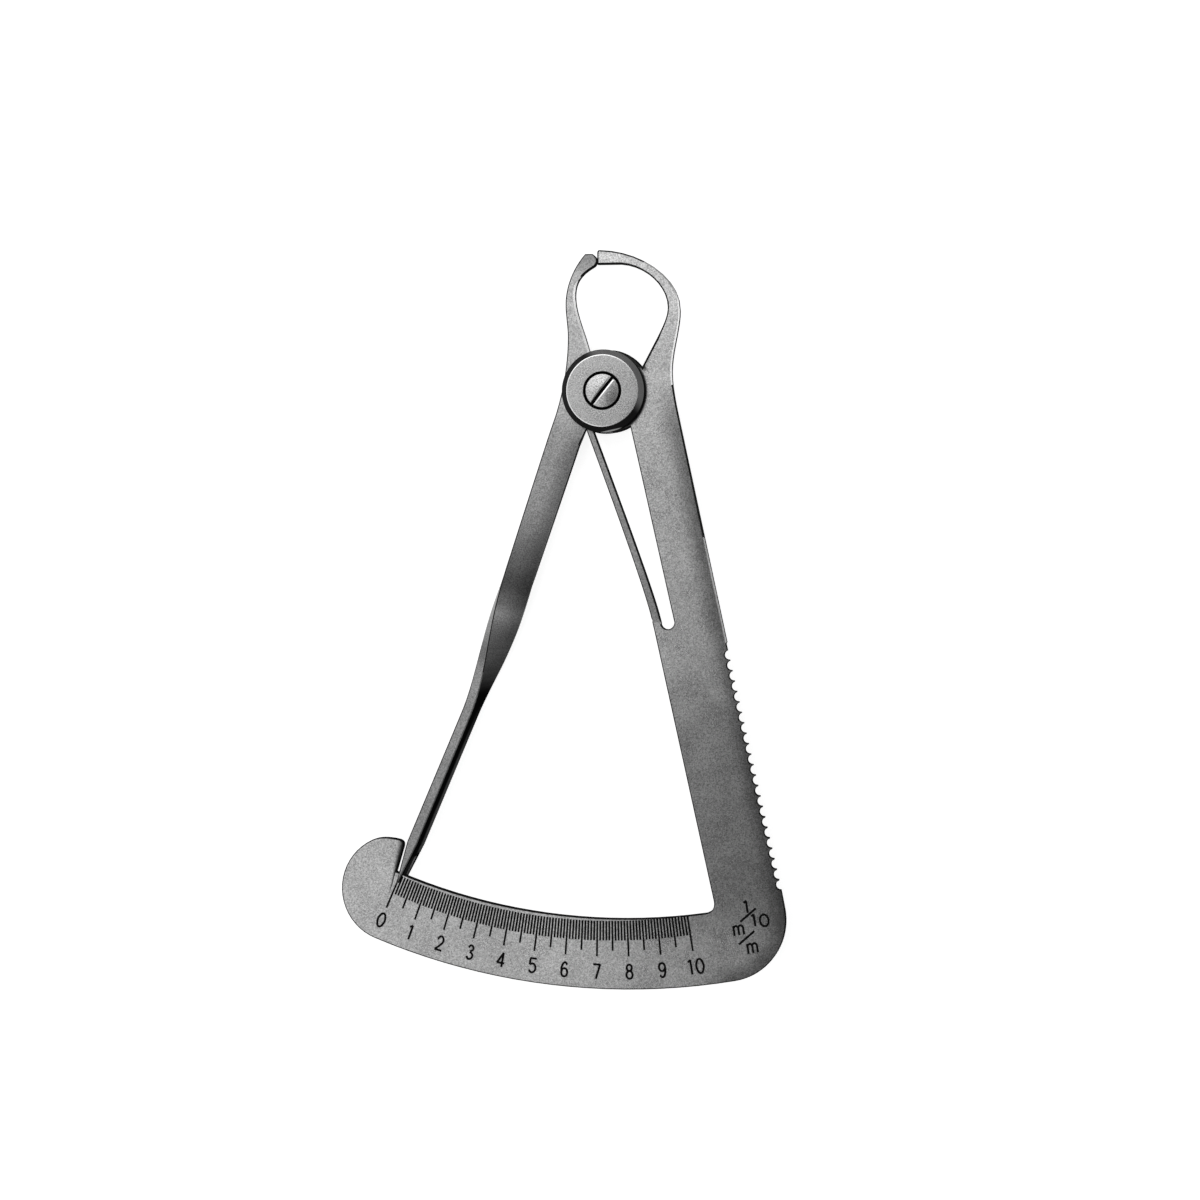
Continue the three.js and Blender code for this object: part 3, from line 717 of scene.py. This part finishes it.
# painted shade down the arm's length below the discs
arm_shade_start, arm_shade_end, arm_shade_least, arm_shade_most = -16, -24, 0.3, 0.6
arm_shade_from_y, arm_shade_fades, arm_shade_left = (-2, -6), (-26, -30), 0.78

# painted shade: past the twist the blade's flank is painted matt black and not metallic,
# with a lighter strip along its lower edge; the "scale" attribute carries it
tree = flank_steel.node_tree
flank = tree.nodes["Principled BSDF"].inputs
flank["Specular IOR Level"].default_value = 0
scale = tree.nodes.new("ShaderNodeAttribute")
scale.attribute_name = "scale"
spot = tree.nodes.new("ShaderNodeSeparateXYZ")
tree.links.new(tree.nodes["Texture Coordinate"].outputs["Object"], spot.inputs[0])
lit_strip = combine(
    tree, "MULTIPLY", ramp(tree, spot.outputs["Y"], *lit_strip_top), ramp(tree, spot.outputs["Y"], *lit_strip_foot))
lit_strip = combine(tree, "MULTIPLY", ramp(tree, spot.outputs["Z"], *lit_strip_from_z, 0, lit_strip_share), lit_strip)
unshaded_flank = combine(tree, "MAXIMUM", combine(tree, "SUBTRACT", 1, scale.outputs["Fac"]), lit_strip)
painted_black_shade = tree.nodes.new("ShaderNodeMix")
painted_black_shade.data_type = "RGBA"
tree.links.new(unshaded_flank, painted_black_shade.inputs[0])
painted_black_shade.inputs[6].default_value = (0.006, 0.006, 0.006, 1)
tree.links.new(flank["Base Color"].links[0].from_socket, painted_black_shade.inputs[7])
tree.links.new(painted_black_shade.outputs[2], flank["Base Color"])
tree.links.new(unshaded_flank, flank["Metallic"])

# painted shade darkens the arm down its right edge and down its length below the discs; the jaw's nose is
# darker too
for steel in (arm_steel, flank_steel):
    tree = steel.node_tree
    x, y = object_xy(tree)
    to_right = combine(tree, "MULTIPLY", distance_past(tree, x, y, side_point, side_outward), -1)
    side_mark = combine(
        tree, "MULTIPLY", ramp(tree, to_right, *side_reach, side_most, 0), ramp(tree, y, *side_from_y))
    nose_mark = ramp(tree, y, nose_start, nose_top, 0, nose_most)
    dim(tree, combine(tree, "SUBTRACT", 1, combine(tree, "MAXIMUM", side_mark, nose_mark)))
    arm_shade = combine(tree, "MULTIPLY", ramp(tree, y, arm_shade_start, arm_shade_end, arm_shade_least, arm_shade_most), ramp(
        tree, y, *arm_shade_fades, 1, arm_shade_left))
    dim(tree, combine(tree, "SUBTRACT", 1, combine(tree, "MULTIPLY", arm_shade, ramp(tree, y, *arm_shade_from_y))))


def arm_edge_width(middle, outward):
    """Chamfer width: broad down the jaw's inner side, fine elsewhere, none under the discs."""
    if middle.xy.length < hidden_radius:
        return 0
    if jaw_low < middle.y < nose_start and outward.x > 0.2:
        return jaw_edge
    return blade_edge


arm = cad_copy("pointer_arm")
bmesh.ops.dissolve_limit(arm, angle_limit=math.radians(0.05), verts=arm.verts, edges=arm.edges)
arm = eased(arm, jaw_edge, arm_edge_width)
arm.normal_update()
# the "scale" attribute holds the flank's painted shade
flank_shade_layer = arm.verts.layers.float.new("scale")
for face in arm.faces:
    middle = face.calc_center_median()
    below = middle.y < arm_top
    on_jaw = jaw_low < middle.y < nose_start
    if face.material_index == 2 and (below or on_jaw) and face.normal.x > 0.2:
        face.material_index = 0 if below else 1
    # painted shadow: the lower prong's top, seen through the slit, takes the walls' matt black
    elif middle.y < fork_start and middle.z < plate_high and face.normal.z > 0.9:
        face.material_index = 2
    elif middle.y < twist_end and face.normal.x > 0.5:
        face.material_index = 4
    # faces leaning left take the darker copy, painted shade; the rest take the flank steel
    elif below and face.material_index == 0 and face.normal.z > 0.1:
        face.material_index = 3 if face.normal.x < (-0.1 if middle.y > twist_end else 0.3) else 4
    elif face.material_index == 0 and abs(face.normal.z) < wall_tilt:
        face.material_index = 2
for vert in arm.verts:
    if any(face.material_index == 4 for face in vert.link_faces):
        vert[flank_shade_layer] = min(1, max(0, (flank_shade_start - vert.co.y) / flank_shade_grows))
arm_finishes = [arm_steel, facet_highlight_steel, cut_steel, blade_edge_shaded_steel, flank_steel]
make_piece("pointer_blade", arm, "pointer", "pointer_arm", arm_finishes)

# Rear disc, front disc and sleeve. Turned steel; the front one has a bevelled rim and a
# counterbore for the screw's head.
disc_steel = satin_steel("turned steel", 0.37, rough=0.28, grain=0.42, stains=0.06)
bevel_steel = satin_steel("turned bevel", 0.4, rough=0.25, grain=0.1, stains=0.1, bump=0.1)
# the rim is polished, and its lighter grey is a painted highlight
rim_highlight_steel = satin_steel("polished rim, painted highlight", 0.7, rough=0.2, grain=0.05, stains=0.05, bump=0)

# painted reflection on the bevel: painted shade nearly black all round, a painted highlight toward the right
# jaw and at one spot below
bright_side, bright_spot = math.radians(42), math.radians(-78)
side_span, side_dark, side_bright = (1.2, 3.2), 0.03, 0.42
spot_span = (5.42, 5.5)
tree = bevel_steel.node_tree
x, y = object_xy(tree)
toward_side, toward_spot = [
    distance_past(tree, x, y, (0, 0), (math.cos(angle), math.sin(angle)))
    for angle in (bright_side, bright_spot)]
# painted reflection: dark all round, lighter toward the right jaw, brightest at a spot below
dim(tree, combine(
    tree, "MAXIMUM", ramp(tree, toward_side, *side_span, side_dark, side_bright),
    ramp(tree, toward_spot, *spot_span)))


def turned(profile, steps=96):
    """A closed [radius, height] profile spun about the pivot's axis."""
    bm = bmesh.new()
    verts = [bm.verts.new((radius, 0, height)) for radius, height in profile]
    edges = [bm.edges.new((verts[i], verts[i - 1])) for i in range(1, len(verts))]
    if profile[0][0] > 0:
        edges.append(bm.edges.new((verts[-1], verts[0])))
    bmesh.ops.spin(
        bm, geom=verts + edges, cent=(0, 0, 0), axis=(0, 0, 1), angle=2 * math.pi, steps=steps,
        use_merge=True)
    bmesh.ops.remove_doubles(bm, verts=bm.verts, dist=1e-4)
    bmesh.ops.recalc_face_normals(bm, faces=bm.faces)
    return bm


def darken_rim(bm, seat, top):
    """Bevel finish on slanting faces, the thin rim's polish with a painted highlight, and black painted shade
    on the walls and in the recess.
    """
    bm.normal_update()
    for face in bm.faces:
        middle = face.calc_center_median()
        upright = abs(face.normal.z) < 0.1
        if upright or (seat and middle.xy.length < head_bore and middle.z < top - 0.1):
            face.material_index = 2
        elif 0.8 < abs(face.normal.z) < 0.995:
            face.material_index = 3
        elif abs(face.normal.z) <= 0.8:
            face.material_index = 1


disc_radius = 5.67
disc_chamfer = 0.7
disc_bore = 1.25
head_bore = 2.58
rim_width = 0.12
rim_drop = 0.035
rounding = 0.08
front_low, front_high, head_seat = 3.35, 5.2, 4.1
front = turned([
    (disc_bore, front_low), (disc_radius - rounding, front_low), (disc_radius, front_low + rounding),
    (disc_radius, front_high - disc_chamfer), (disc_radius - disc_chamfer - rim_drop, front_high - rim_drop),
    (disc_radius - disc_chamfer - rim_drop - rim_width, front_high),
    (head_bore + rounding, front_high), (head_bore, front_high - rounding),
    (head_bore, head_seat), (disc_bore, head_seat)])
darken_rim(front, head_seat, front_high)
disc_finishes = [disc_steel, bevel_steel, ink_and_painted_shade, rim_highlight_steel]
make_piece("front_cover", front, "frame", "front_disc", disc_finishes)

rear_high = 1.85
tap_floor = 0.65
rear = turned([
    (0, 0), (disc_radius - disc_chamfer, 0), (disc_radius, disc_chamfer),
    (disc_radius, rear_high - rounding), (disc_radius - rounding, rear_high),
    (disc_bore, rear_high), (disc_bore, tap_floor), (0, tap_floor)])
darken_rim(rear, 0, rear_high)
make_piece("rear_nut", rear, "frame", "rear_disc", disc_finishes)
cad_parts["pivot_sleeve"].data.materials.clear()
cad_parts["pivot_sleeve"].data.materials.append(disc_steel)

# Pivot screw. Domed and slotted, turned from bright steel, its slot cut with a saw.
screw_steel = satin_steel("screw steel", 0.42, rough=0.26, grain=0.4, stains=0.06)
shank_radius, shank_low = 1.2, 0.85
head_radius = 2.25
head_dome = 0.17
slot_width = 0.46
slot_floor = 4.8
slot_burr = 0.16
trough_steps = 8
trough_reach = 2.1
slot_angle = math.radians(51.5)
dome_steps = 12
profile = [(0, shank_low), (shank_radius, shank_low), (shank_radius, head_seat), (head_radius, head_seat)]
for i in range(dome_steps + 1):
    share = 1 - i / dome_steps
    profile.append((head_radius * share, front_high + head_dome * (1 - share ** 2)))
screw = turned(profile)
# the saw slot's walls take the black, painted shade in the slot
slot_cut = bmesh.new()
bmesh.ops.create_cube(slot_cut, size=1, matrix=Matrix.Rotation(slot_angle, 4, "Z")
                      @ Matrix.Translation((0, 0, slot_floor + 1)) @ Matrix.Diagonal((8, slot_width, 2, 1)))

# a shallow V that follows the dome takes the slot's two edges off; its faces take the rim's lighter grey, a
# painted highlight
trough = bmesh.new()
half = slot_width / 2 + slot_burr
turn = Matrix.Rotation(slot_angle, 3, "Z")
rows = []
for i in range(-trough_steps, trough_steps + 1):
    along = i / trough_steps * trough_reach
    top = front_high + head_dome * (1 - (along ** 2 + half ** 2) / head_radius ** 2)
    corners = [(-2 * half, top + half / 4), (2 * half, top + half / 4), (0, top - half / 4)]
    rows.append([trough.verts.new(turn @ Vector((along, across, height))) for across, height in corners])
for row, following in zip(rows, rows[1:]):
    for j in range(3):
        trough.faces.new([row[j - 1], row[j], following[j], following[j - 1]])
trough.faces.new(rows[0])
trough.faces.new(rows[-1])
bmesh.ops.recalc_face_normals(trough, faces=trough.faces)
screw = cut(screw, cutter(trough, 2), cutter(slot_cut, 1))
make_piece("screw_head", screw, "frame", "pivot_screw", [screw_steel, ink_and_painted_shade, rim_highlight_steel])
